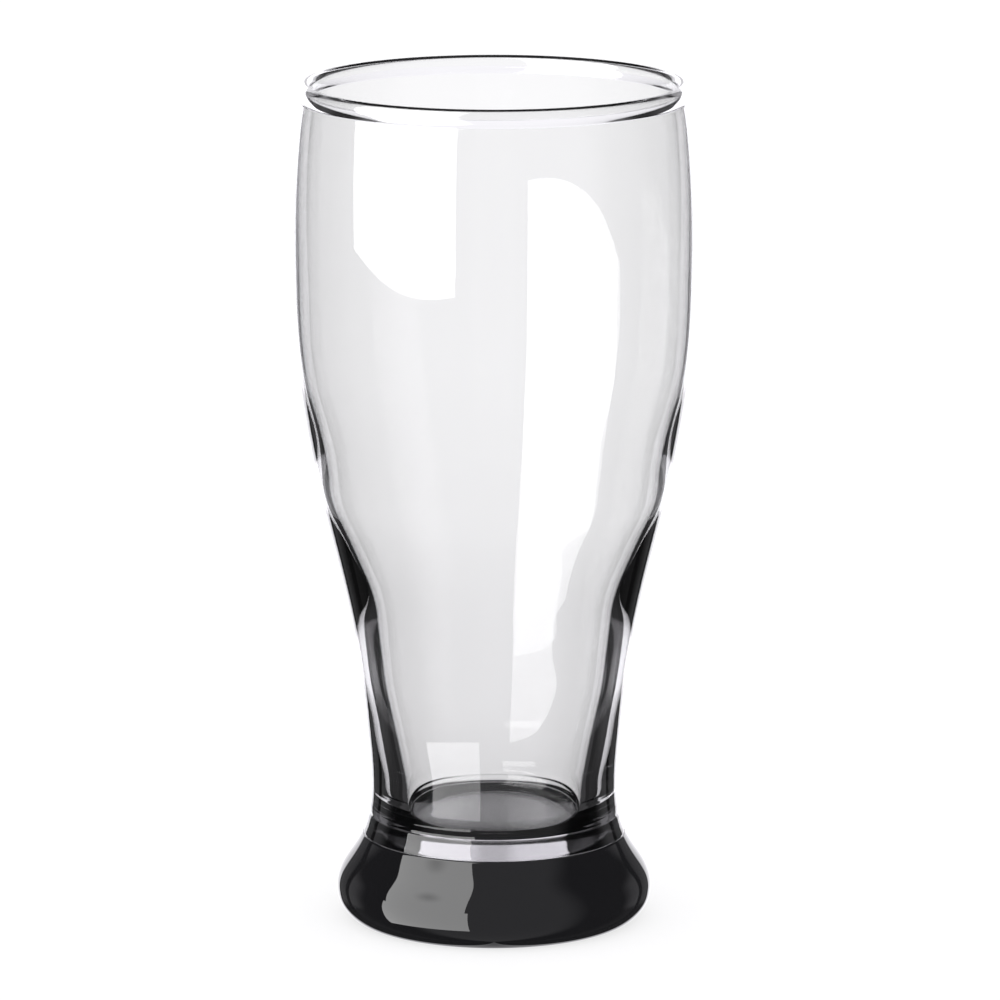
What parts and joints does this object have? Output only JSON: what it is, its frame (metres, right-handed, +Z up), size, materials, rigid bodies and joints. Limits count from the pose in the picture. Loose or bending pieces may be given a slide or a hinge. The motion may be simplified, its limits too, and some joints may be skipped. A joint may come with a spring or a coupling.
{
  "type": "pint glass",
  "caption": "Barrel-shaped clear beer glass with a rounded rim bead, a thick tapering lower wall and a heavy flared black foot.",
  "frame": {"origin": "centre of the bearing ring, on the plane the glass stands on", "axes": "+Z up along the glass's axis; X and Y are equal, because the glass is round"},
  "size_m": [0.0858, 0.0858, 0.18],
  "materials": {
    "clear_glass": "fire-polished, smooth and clear",
    "black_glass": "polished, deep black"
  },
  "bodies": {
    "root": {"bowl": "clear_glass", "foot": "black_glass"}
  },
  "joints": []
}
